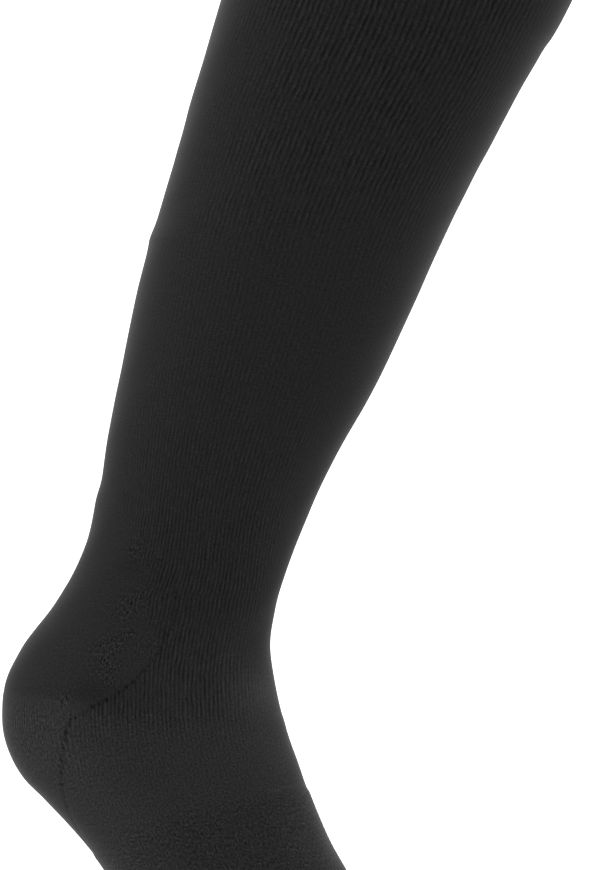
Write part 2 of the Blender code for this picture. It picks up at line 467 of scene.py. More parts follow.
@dataclass
class Ribs(Relief):
    """Raised wales with furrows between them, which the cushion lacks.

    They lie flatter along the middle of the back and along the shin.

    Attributes:
        strengths: How strong the ribs are along the tube, from 0 to 1.
        full_height: Their height at full strength, in millimetres.
        roundness: The power that rounds a rib's back.
        mean_share: The share of the height that lies under the cloth's mean face.
        flat_share: Up to this share from the middles the ribs lie flat.
        proud_share: From this share on they stand proud.
        flat_strength: What is left of their strength where they lie flat.
        calm: Places where they show less.
        cushion_edge: The share up to which the unribbed cushion reaches.
        fades: The half width of the change from cushion to ribs, in shares.
    """

    strengths: tuple[Knot, ...] = knots(
        (0.0, 1.03), (60.0, 1.02), (76.0, 0.94), (95.0, 0.87), (110.0, 0.86),
        (130.0, 0.78), (150.0, 0.57), (165.0, 0.42), (195.0, 0.40), (230.0, 0.56),
        (258.0, 0.70), (280.0, 0.90), (300.0, 0.92), (320.0, 0.90), (338.0, 0.96),
        (346.0, 0.84), (356.0, 0.40), (368.0, 0.24), (384.0, 0.14), (600.0, 0.14),
    )
    full_height: float = 0.07
    roundness: float = 0.7
    mean_share: float = 0.62
    flat_share: float = 0.03
    proud_share: float = 0.15
    flat_strength: float = 0.18
    calm: tuple[Blot, ...] = (
        Blot(112.0, 0.128, 40.0, 0.036, -0.45),
        Blot(165.0, 0.270, 14.0, 0.080, -0.40),
        Blot(195.0, 0.370, 32.0, 0.090, -0.50),
        Blot(238.0, 0.410, 25.0, 0.045, -0.35),
    )
    cushion_edge: tuple[Knot, ...] = knots(
        (252.0, 0.0), (258.0, 0.060), (265.0, 0.112), (276.0, 0.158), (286.0, 0.192),
        (299.0, 0.216), (309.0, 0.242), (316.0, 0.270), (322.0, 0.273), (332.0, 0.247),
        (344.0, 0.185), (348.0, 0.15), (368.0, 0.1), (389.0, 0.04), (394.0, 0.0),
    )
    fades: tuple[Knot, ...] = knots((270.0, 0.028), (295.0, 0.018), (318.0, 0.008))

    def strength(self, grid: ClothGrid) -> np.ndarray:
        """Work out where the ribs stand.

        Args:
            grid: The cloth's places.

        Returns:
            How strong they are at each place, from 0 to 1.
        """
        edge = along(self.cushion_edge, grid.stations)
        fade = along(self.fades, grid.stations)
        ribbed = soft_step((grid.from_back - edge) / fade, -1.0, 1.0)
        ribbed = np.where(edge > 0.0, ribbed, 1.0)
        middle = np.minimum(grid.from_back, FRONT - grid.from_back)
        proud = soft_step(middle, self.flat_share, self.proud_share)
        proud = self.flat_strength + (1.0 - self.flat_strength) * proud
        return along(self.strengths, grid.stations) * ribbed * proud * blotted(self.calm, grid)

    def lift(self, grid: ClothGrid) -> np.ndarray:
        """Raise the ribs.

        Args:
            grid: The cloth's places.

        Returns:
            Their height over the cloth's mean face, in millimetres.
        """
        across = np.mod(grid.wales, 1.0)
        ridge = np.sin(math.pi * across) ** self.roundness
        return self.full_height * self.strength(grid) * (ridge - self.mean_share)


@dataclass
class StitchLine(Relief):
    """A line along which wales were narrowed: a groove with a row of eyelets.

    Attributes:
        spots: The line's corners.
        groove: Its depth in millimetres, below 0 for a ridge.
        half_width: Half its width, in millimetres.
        far: The distance given to places that are nowhere near the line.
        run_start: The distance along the line at its first spot.
        plainness: How plainly its eyelets show along the tube.
    """

    spots: tuple[Spot, ...]
    groove: float = 0.13
    half_width: float = 0.9
    far: float = 9.0
    run_start: float = 0.0
    plainness: tuple[Knot, ...] = knots((0.0, 1.0), (600.0, 1.0))

    def place(self, grid: ClothGrid) -> tuple[np.ndarray, np.ndarray]:
        """Find how each place lies to the line.

        Args:
            grid: The cloth's places.

        Returns:
            The distance along the line and the distance across it, in millimetres.
        """
        nearest = np.full(grid.stations.shape, self.far)
        run = np.zeros(grid.stations.shape)
        travelled = self.run_start
        for start, end in zip(self.spots, self.spots[1:]):
            girth = float(np.interp(start.station, grid.stations[:, 0], grid.girths[:, 0]))
            step = np.array([end.station - start.station, (end.share - start.share) * girth])
            length = float(np.hypot(*step))
            down = grid.stations - start.station
            aside = (grid.from_back - start.share) * girth
            t = np.clip((down * step[0] + aside * step[1]) / length**2, 0.0, 1.0)
            distance = np.hypot(down - t * step[0], aside - t * step[1])
            closer = distance < nearest
            nearest = np.where(closer, distance, nearest)
            run = np.where(closer, travelled + t * length, run)
            travelled += length
        return run, nearest

    def lift(self, grid: ClothGrid) -> np.ndarray:
        """Return the groove's depth below the cloth."""
        across = self.place(grid)[1]
        return -self.groove * np.exp(-((across / self.half_width) ** 2))


UPPER_GORE = StitchLine(
    spots(
        (286.0, 0.195), (292.0, 0.247), (298.0, 0.265), (309.0, 0.278), (322.0, 0.273),
        (332.0, 0.247), (339.0, 0.217), (344.0, 0.183), (348.0, 0.157),
    ),
    plainness=knots((284.0, 0.2), (294.0, 0.5), (318.0, 0.65), (336.0, 1.0)),
)
LOWER_GORE = StitchLine(
    spots(
        (348.0, 0.157), (353.0, 0.147), (357.0, 0.139), (365.5, 0.116), (374.5, 0.085),
        (381.5, 0.067), (390.0, 0.050),
    ),
    groove=0.10,
    run_start=54.0,
)
# Where the band's front edge gets a painted highlight, as its upper edge faces the light; only its
# place is read, and it adds no groove.
BAND_LIP_HIGHLIGHT = StitchLine(spots((388.5, 0.385), (393.0, 0.5)))
HEEL_CAP_LINE = StitchLine(
    spots((340.5, 0.0), (340.5, 0.070), (340.0, 0.105), (342.0, 0.138)),
    groove=0.07,
    half_width=0.7,
)
TOE_LINK = StitchLine(
    spots((538.0, 0.27), (533.0, 0.34), (531.0, 0.42), (530.5, 0.5)),
    groove=-0.45,
    half_width=1.1,
)
GORES = (UPPER_GORE, LOWER_GORE)


class Patch(NamedTuple):
    """A patch of the cushion, by its middle, its size in millimetres and its strength."""

    station: float
    share: float
    size: float
    strength: float


@dataclass
class Bobbles(Relief):
    """The terry cushion that shows through at the ankle as patches of small bumps.

    Attributes:
        height: The bumps' height, in millimetres.
        pitch: Their distance, in millimetres.
        patches: Where they gather.
        between: How much of them shows between the patches.
        first: The station where they start, over the length rise.
        last: The station where they end, over the length fall.
        inner_share: The share from the back where they start, over twice fade.
        past_edge: How far they reach past the cushion's edge, in shares.
        wander: How far the rows of bumps wander, and at what pace.
        wander_bend: How the wander changes round the leg.
        row_bend: How the rows bend round the leg.
        column_bend: How the columns bend along it.
        squash: How much wider than long a bump is drawn.
    """

    height: float = 0.07
    pitch: float = 1.9
    patches: tuple[Patch, ...] = (
        Patch(271.0, 0.130, 4.0, 0.5),
        Patch(276.5, 0.154, 3.0, 0.8),
        Patch(280.0, 0.165, 3.5, 1.2),
        Patch(282.5, 0.198, 2.3, 1.2),
        Patch(284.5, 0.218, 2.3, 1.3),
        Patch(290.5, 0.122, 3.0, 0.3),
        Patch(293.0, 0.246, 3.5, 0.6),
        Patch(302.0, 0.194, 5.5, 1.0),
        Patch(307.0, 0.268, 4.0, 0.6),
        Patch(312.0, 0.216, 3.5, 0.7),
        Patch(320.0, 0.200, 6.0, 1.0),
        Patch(327.0, 0.200, 5.0, 0.8),
        Patch(319.0, 0.256, 5.0, 0.35),
        Patch(333.0, 0.216, 3.5, 0.5),
        Patch(341.2, 0.148, 2.5, 1.2),
    )
    between: float = 0.15
    first: float = 264.0
    rise: float = 20.0
    last: float = 350.0
    fall: float = 12.0
    inner_share: float = 0.10
    fade: float = 0.02
    past_edge: float = 0.06
    wander: Sway = Sway(0.9, 0.37)
    wander_bend: Sway = Sway(1.3, 0.21)
    row_bend: Sway = Sway(0.5, 0.43)
    column_bend: Sway = Sway(0.7, 0.31)
    squash: float = 0.8

    def cover(self, grid: ClothGrid) -> np.ndarray:
        """Work out where the terry shows through.

        Args:
            grid: The cloth's places.

        Returns:
            How fully each place is covered with bumps, from 0 to 1.
        """
        here = soft_step(grid.stations, self.first, self.first + self.rise)
        here *= 1.0 - soft_step(grid.stations, self.last - self.fall, self.last)
        inner, outer = self.inner_share - self.fade, self.inner_share + self.fade
        here *= soft_step(grid.from_back, inner, outer)
        edge = along(Ribs().cushion_edge, grid.stations)
        here *= 1.0 - soft_step(grid.from_back - edge, 0.0, self.past_edge)
        total = np.full(grid.stations.shape, self.between)
        for patch in self.patches:
            down = (grid.stations - patch.station) / patch.size
            aside = (grid.from_back - patch.share) * grid.girths / patch.size
            total += patch.strength * np.exp(-(down**2) - aside**2)
        return here * np.minimum(total, 1.0)

    def lift(self, grid: ClothGrid) -> np.ndarray:
        """Raise the bumps.

        Args:
            grid: The cloth's places.

        Returns:
            Their height, in millimetres.
        """
        down = grid.stations / self.pitch * FULL_TURN
        aside = grid.back_distance / self.pitch * FULL_TURN
        phase = self.wander.pace * down + self.wander_bend.at(aside)
        wander = self.wander.reach * np.sin(phase)
        bumps = np.sin(down + wander + self.row_bend.at(aside))
        bumps *= np.sin(self.squash * aside - wander + self.column_bend.at(down))
        return self.height * self.cover(grid) * bumps


@dataclass
class BandFloats(Relief):
    """Short floats across the wales of the arch band, in staggered rows.

    Attributes:
        first: The station where the band starts.
        last: The station where it ends.
        height: The floats' height, in millimetres.
        row_pitch: The distance between rows, in millimetres.
        wales_to_float: How many wales a float crosses.
        lead: The length over which the floats come and go, in millimetres.
        skew: How far the rows lean from a course, in millimetres.
        rise: How far up the floats start on the sides, in millimetres.
        bar_power: The power that rounds a float's back.
        end_power: The power that blunts its ends.
        mean_share: The share of the height that lies under the cloth's mean face.
    """

    first: float
    last: float
    height: float = 0.07
    row_pitch: float = 1.72
    wales_to_float: float = 2.0
    lead: float = 4.0
    skew: float = 10.0
    rise: float = 7.0
    bar_power: float = 1.5
    end_power: float = 0.7
    mean_share: float = 0.4

    def rows(self, grid: ClothGrid) -> np.ndarray:
        """Return the rows' numbers: each row runs down towards the front."""
        slant = self.skew * np.cos(grid.from_back * FULL_TURN)
        return (grid.stations - self.first + slant) / self.row_pitch

    def cover(self, grid: ClothGrid) -> np.ndarray:
        """Work out where the floats lie.

        Args:
            grid: The cloth's places.

        Returns:
            How plainly they show at each place, from 0 to 1.
        """
        edge = self.first - self.rise * np.sin(grid.from_back * FULL_TURN) ** 2
        inside = soft_step(grid.stations, edge - self.lead, edge + self.lead)
        return inside * (1.0 - soft_step(grid.stations, self.last - self.lead, self.last))

    def lift(self, grid: ClothGrid) -> np.ndarray:
        """Raise the floats.

        Args:
            grid: The cloth's places.

        Returns:
            Their height, in millimetres.
        """
        rows = self.rows(grid)
        stagger = 0.5 * np.mod(np.floor(rows), 2.0)
        across = np.mod(grid.wales / self.wales_to_float + stagger, 1.0)
        bar = np.clip(np.sin(math.pi * np.mod(rows, 1.0)), 0.0, 1.0) ** self.bar_power
        end = np.clip(np.sin(math.pi * across), 0.0, 1.0) ** self.end_power
        return self.height * self.cover(grid) * (bar * end - self.mean_share)


@dataclass
class CapWales(Relief):
    """Fine wales on the heel cap, even from the middle of the back.

    They are too fine to stand proud, so they have no lift.  They start over the length
    rise and end over the length fall, and past full_reach they give out towards reach.
    """

    first: float = 341.5
    rise: float = 2.5
    last: float = 370.0
    fall: float = 14.0
    full_reach: float = 0.09
    reach: float = 0.15

    def cover(self, grid: ClothGrid) -> np.ndarray:
        """Work out where the fine wales lie.

        Args:
            grid: The cloth's places.

        Returns:
            How plainly they show at each place, from 0 to 1.
        """
        here = soft_step(grid.stations, self.first, self.first + self.rise)
        here *= 1.0 - soft_step(grid.stations, self.last - self.fall, self.last)
        return here * (1.0 - soft_step(grid.from_back, self.full_reach, self.reach))


@dataclass
class Unevenness(Relief):
    """Slow waves that no knitted cloth is without.

    Each has a number of turns round the tube and a length along it, and each is weaker
    than the one before.
    """

    height: float = 0.10
    turn_waves: tuple[float, ...] = (3.0, 7.0, 11.0)
    lengths: tuple[float, ...] = (61.0, 37.0, 23.0)

    def lift(self, grid: ClothGrid) -> np.ndarray:
        """Raise the waves.

        Args:
            grid: The cloth's places.

        Returns:
            Their height, in millimetres.
        """
        total = np.zeros(grid.stations.shape)
        turn = grid.from_back * FULL_TURN
        for order, (waves, length) in enumerate(zip(self.turn_waves, self.lengths), 1):
            down = grid.stations / length * FULL_TURN
            total += np.sin(waves * turn + down + order) / order
        return self.height * total


@dataclass(frozen=True)
class Swell(Relief):
    """A low ring round the back of the tube, where the tension of the knit changes."""

    station: float
    height: float
    half_width: float
    reach: float = 0.3

    def lift(self, grid: ClothGrid) -> np.ndarray:
        """Return the ring's height, which dies away towards the front."""
        ring = np.exp(-(((grid.stations - self.station) / self.half_width) ** 2))
        return self.height * ring * (1.0 - soft_step(grid.from_back, 0.0, self.reach))


@dataclass(frozen=True)
class Fullness(Relief):
    """How much fuller or slimmer the cloth sits at the back and at the front."""

    back: tuple[Knot, ...] = knots(
        (40.0, 0.0), (65.0, 0.25), (108.0, 0.20), (122.0, -0.20), (132.0, -0.50),
        (148.0, -0.50), (157.0, 0.10), (172.0, 0.10), (236.0, -0.15), (256.0, -0.30),
        (266.0, 0.55), (282.0, 0.50), (296.0, -0.15), (322.0, 0.0), (338.0, -0.40),
        (351.0, 0.0), (362.0, -0.35), (400.0, -0.40), (450.0, 0.0),
    )
    front: tuple[Knot, ...] = knots(
        (12.0, -0.55), (26.0, -0.45), (40.0, 0.10), (160.0, 0.0), (184.0, 0.28),
        (200.0, 0.28), (215.0, 0.0), (275.0, 0.10), (295.0, 0.25), (328.0, 0.25),
        (352.0, -0.15), (378.0, -0.40), (396.0, -0.55), (414.0, -0.55), (430.0, -0.15),
        (460.0, 0.0),
    )

    def lift(self, grid: ClothGrid) -> np.ndarray:
        """Fill the cloth out or take it in.

        Args:
            grid: The cloth's places.

        Returns:
            How much fuller it sits at each place, in millimetres.
        """
        forward = (1.0 - np.cos(grid.from_back * FULL_TURN)) / 2
        back = smooth_along(self.back, grid.stations) * (1.0 - forward) ** 2
        return back + smooth_along(self.front, grid.stations) * forward**2


class Lightness(NamedTuple):
    """How light the yarn is drawn at a station, beside the leg's, round the tube, painted light
    and shade included.
    """

    station: float
    back: float
    side: float
    front: float


@dataclass(frozen=True)
class Shading:
    """How light the yarn is drawn from place to place: partly its own tone, partly painted light
    and shade.

    Attributes:
        table: How light the yarn is drawn along the tube, at the back, the side and the front.
            The back and the front are mostly lighter than the side, partly the heel cap's and
            foot's own lighter yarn, partly painted rim light, and the instep's front carries a
            painted highlight.
        back_share: Up to this share the back's value holds.
        side_share: From this share on the side's value holds.
        shin_share: Up to this share it still holds.
        front_share: From this share on the front's value holds.
        blots: Places drawn lighter or darker than round them; the one at 334.5 on the instep's
            front is a painted highlight.
        lip_highlight_width: Half the width of the painted highlight on the band's lip, in
            millimetres.
        lip_highlight_gain: How much lighter the painted highlight makes the lip.
    """

    table: tuple[Lightness, ...] = (
        Lightness(0.0, 1.08, 1.00, 1.00),
        Lightness(60.0, 1.10, 1.00, 1.04),
        Lightness(100.0, 1.20, 1.02, 1.10),
        Lightness(150.0, 1.32, 1.09, 1.22),
        Lightness(200.0, 1.34, 1.12, 1.24),
        Lightness(230.0, 1.37, 1.17, 1.18),
        Lightness(270.0, 1.38, 1.16, 1.22),
        Lightness(300.0, 1.37, 1.12, 1.45),
        # From here the front rises to a painted highlight on the instep, where it faces up to the
        # light; further down it is also the foot's lighter yarn.
        Lightness(318.0, 1.44, 1.26, 1.80),
        Lightness(335.0, 1.54, 1.32, 2.75),
        Lightness(339.0, 1.54, 1.33, 2.75),
        Lightness(342.5, 1.98, 1.38, 2.60),
        Lightness(350.0, 2.12, 1.56, 2.20),
        Lightness(360.0, 2.25, 1.60, 2.15),
        Lightness(385.0, 2.15, 1.54, 1.95),
        Lightness(395.0, 2.20, 1.33, 1.78),
        Lightness(440.0, 2.25, 1.38, 1.75),
        Lightness(446.0, 2.15, 1.65, 1.80),
        Lightness(600.0, 2.00, 1.70, 1.75),
    )
    back_share: float = 0.12
    side_share: float = 0.24
    shin_share: float = 0.33
    front_share: float = 0.47
    blots: tuple[Blot, ...] = (
        Blot(258.0, 0.400, 30.0, 0.045, 0.17),
        Blot(285.5, 0.160, 7.0, 0.030, -0.13),
        Blot(303.0, 0.232, 7.0, 0.020, 0.08),
        Blot(322.0, 0.440, 9.0, 0.045, -0.16),
        # A painted highlight on the instep's front.
        Blot(334.5, 0.440, 4.5, 0.028, 0.13),
        Blot(337.0, 0.326, 8.0, 0.045, 0.08),
        Blot(338.0, 0.190, 6.0, 0.034, -0.25),
        Blot(374.0, 0.450, 11.0, 0.040, 0.09),
        Blot(394.0, 0.070, 12.0, 0.025, 0.15),
        Blot(399.0, 0.145, 12.0, 0.035, -0.13),
        Blot(413.0, 0.390, 9.0, 0.035, 0.13),
    )
    lip_highlight_width: float = 0.8
    lip_highlight_gain: float = 0.30

    def shade(self, grid: ClothGrid) -> np.ndarray:
        """Shade the yarn.

        Args:
            grid: The cloth's places.

        Returns:
            How light each place is, as a share of the leg yarn's grey.
        """
        places = [row.station for row in self.table]
        back = np.interp(grid.stations, places, [row.back for row in self.table])
        side = np.interp(grid.stations, places, [row.side for row in self.table])
        front = np.interp(grid.stations, places, [row.front for row in self.table])
        to_side = soft_step(grid.from_back, self.back_share, self.side_share)
        to_front = soft_step(grid.from_back, self.shin_share, self.front_share)
        tone = back + (side - back) * to_side + (front - side) * to_front
        # The band's lip gets a painted highlight, as its upper edge faces the light.
        lip_highlight = np.exp(-((BAND_LIP_HIGHLIGHT.place(grid)[1] / self.lip_highlight_width) ** 2))
        return tone * blotted(self.blots, grid) * (1.0 + self.lip_highlight_gain * lip_highlight)


@dataclass(frozen=True)
class Thickening(Relief):
    """Cloth that stands prouder between two stations."""

    first: float
    last: float
    height: float
    rise: float = 1.5

    def lift(self, grid: ClothGrid) -> np.ndarray:
        """Thicken the cloth.

        Args:
            grid: The cloth's places.

        Returns:
            How much prouder it stands at each place, in millimetres.
        """
        up = soft_step(grid.stations, self.first, self.first + self.rise)
        down = soft_step(grid.stations, self.last - self.rise, self.last)
        return self.height * (up - down)


class Slot(Enum):
    """The record's material slots."""

    CUFF = "cuff_knit"
    LEG = "leg_knit"
    FOOT = "foot_knit"
    BAND = "band_knit"


@dataclass(frozen=True)
class YarnFinish:
    """Black stretch yarn, knitted.

    Attributes:
        name: The material's name.
        grey: The yarn's colour, linear.
        sheen: How much the fine fibres catch light at the cloth's rims.
        sheen_roughness: How far that light spreads in from the rims.
        roughness: The yarn's mean roughness.
        gloss: How strongly the yarn reflects.
        courses: How many rows of stitches lie in a millimetre.
        stitch_depth: The stitches' depth, in millimetres.
        furrow_shade: How dark the furrows are painted, as painted shade between the wales.
        glint: How light the stitches' painted highlights are.
        grain: How uneven the stitches are.
    """

    name: str
    grey: float
    sheen: float = 0.15
    sheen_roughness: float = 0.38
    roughness: float = 0.8
    gloss: float = 0.025
    courses: float = 0.85
    stitch_depth: float = 0.02
    furrow_shade: float = 0.80
    glint: float = 0.45
    grain: float = 0.45

    def material(
        self, stitches: bpy.types.NodeTree, eyelets: bpy.types.NodeTree
    ) -> bpy.types.Material:
        """Make the yarn's material.

        Args:
            stitches: The shared group that draws the knitted face.
            eyelets: The shared group that draws the gores' eyelets.

        Returns:
            The material, which reads the piece's own map and attributes.
        """
        material = bpy.data.materials.new(self.name)
        material.use_nodes = True
        nodes, links = material.node_tree.nodes, material.node_tree.links
        shader = nodes["Principled BSDF"]
        shader.inputs["Specular IOR Level"].default_value = self.gloss
        shader.inputs["Sheen Weight"].default_value = self.sheen
        shader.inputs["Sheen Roughness"].default_value = self.sheen_roughness
        shader.inputs["Metallic"].default_value = 0.0

        uv_map = nodes.new("ShaderNodeUVMap")
        uv_map.uv_map = KNIT_MAP
        knit = nodes.new("ShaderNodeGroup")
        knit.node_tree = stitches
        knit.inputs["Grey"].default_value = self.grey
        knit.inputs["Wales"].default_value = WALES
        knit.inputs["Courses"].default_value = self.courses * KNIT_LENGTH
        knit.inputs["Furrow Shade"].default_value = self.furrow_shade
        knit.inputs["Glint"].default_value = self.glint
        knit.inputs["Grain"].default_value = self.grain
        knit.inputs["Roughness"].default_value = self.roughness
        links.new(uv_map.outputs["UV"], knit.inputs["Map"])

        holes = nodes.new("ShaderNodeGroup")
        holes.node_tree = eyelets
        links.new(knit.outputs["Color"], holes.inputs["Color"])
        for group, marks in ((knit, KNIT_MARKS), (holes, GORE_MARKS)):
            for name in marks:
                reader = nodes.new("ShaderNodeAttribute")
                reader.attribute_name = name
                links.new(reader.outputs["Fac"], group.inputs[name.replace("_", " ").title()])

        bump = nodes.new("ShaderNodeBump")
        bump.inputs["Strength"].default_value = 1.0
        bump.inputs["Distance"].default_value = self.stitch_depth * MM
        links.new(knit.outputs["Height"], bump.inputs["Height"])
        links.new(holes.outputs["Color"], shader.inputs["Base Color"])
        links.new(knit.outputs["Roughness"], shader.inputs["Roughness"])
        links.new(bump.outputs["Normal"], shader.inputs["Normal"])
        return material


class Signal:
    """A number that changes over the cloth, in a node tree; arithmetic on it adds nodes."""

    def __init__(self, tree: bpy.types.NodeTree, socket: bpy.types.NodeSocket) -> None:
        """Keep the tree and the socket that puts out the number."""
        self.tree = tree
        self.socket = socket

    def math(self, operation: str, *others: object) -> "Signal":
        """Add a Math node.

        Args:
            operation: The node's operation.
            others: Its inputs after this signal, each a signal or a number.

        Returns:
            What the node puts out.
        """
        node = self.tree.nodes.new("ShaderNodeMath")
        node.operation = operation
        for socket, value in zip(node.inputs, (self, *others)):
            if isinstance(value, Signal):
                value.feed(socket)
            else:
                socket.default_value = value
        return Signal(self.tree, node.outputs["Value"])

    def __add__(self, other: object) -> "Signal":
        """Return the sum with a signal or a number."""
        return self.math("ADD", other)

    def __sub__(self, other: object) -> "Signal":
        """Return what is left over a signal or a number."""
        return self.math("SUBTRACT", other)

    def __mul__(self, other: object) -> "Signal":
        """Return the product with a signal or a number."""
        return self.math("MULTIPLY", other)

    def scaled(self, gain: object, start: object) -> "Signal":
        """Return gain times the signal, and start more."""
        return self.math("MULTIPLY_ADD", gain, start)

    def size(self) -> "Signal":
        """Return the signal without its sign."""
        return self.math("ABSOLUTE")

    def number(self) -> "Signal":
        """Return the whole number at or below the signal."""
        return self.math("FLOOR")

    def centred(self) -> "Signal":
        """Return how far the signal lies from the middle between two whole numbers."""
        return self.math("FRACT") - 0.5

    def feed(self, socket: bpy.types.NodeSocket) -> None:
        """Link the signal to an input."""
        self.tree.links.new(self.socket, socket)


class Ramp(NamedTuple):
    """A smooth change from least to most, while a signal rises from low to high."""

    low: float
    high: float
    least: float = 0.0
    most: float = 1.0

    def of(self, signal: Signal) -> Signal:
        """Add the nodes of the change.

        Args:
            signal: What rises.

        Returns:
            What lies between least and most.
        """
        node = signal.tree.nodes.new("ShaderNodeMapRange")
        node.interpolation_type = "SMOOTHSTEP"
        node.inputs["From Min"].default_value = self.low
        node.inputs["From Max"].default_value = self.high
        node.inputs["To Min"].default_value = self.least
        node.inputs["To Max"].default_value = self.most
        signal.feed(node.inputs["Value"])
        return Signal(signal.tree, node.outputs["Result"])


class Cloud(NamedTuple):
    """A noise over two signals, with the pace at which each runs through it."""

    x_pace: float
    y_pace: float
    detail: float = 1.0

    def over(self, x: Signal, y: Signal) -> Signal:
        """Add the noise's nodes.

        Args:
            x: The first signal.
            y: The second signal.

        Returns:
            The noise, about 0 to 1.
        """
        place = x.tree.nodes.new("ShaderNodeCombineXYZ")
        (x * self.x_pace).feed(place.inputs["X"])
        (y * self.y_pace).feed(place.inputs["Y"])
        node = x.tree.nodes.new("ShaderNodeTexNoise")
        node.noise_dimensions = "2D"
        node.inputs["Scale"].default_value = 1.0
        node.inputs["Detail"].default_value = self.detail
        x.tree.links.new(place.outputs["Vector"], node.inputs["Vector"])
        return Signal(x.tree, node.outputs["Fac"])


def new_group(
    name: str, inputs: tuple[str, ...], outputs: tuple[str, ...]
) -> tuple[bpy.types.NodeTree, dict[str, Signal], bpy.types.Node]:
    """Start a shader node group.

    A socket named Map takes a place, one named Color a colour, and any other a number.

    Args:
        name: The group's name.
        inputs: The inputs' names.
        outputs: The outputs' names.

    Returns:
        The group, its inputs by name, and its output node.
    """
    kinds = {"Map": "NodeSocketVector", "Color": "NodeSocketColor"}
    tree = bpy.data.node_groups.new(name, "ShaderNodeTree")
    for side, labels in (("INPUT", inputs), ("OUTPUT", outputs)):
        for label in labels:
            kind = kinds.get(label, "NodeSocketFloat")
            tree.interface.new_socket(label, in_out=side, socket_type=kind)
    entry = tree.nodes.new("NodeGroupInput")
    leave = tree.nodes.new("NodeGroupOutput")
    return tree, {socket.name: Signal(tree, socket) for socket in entry.outputs}, leave


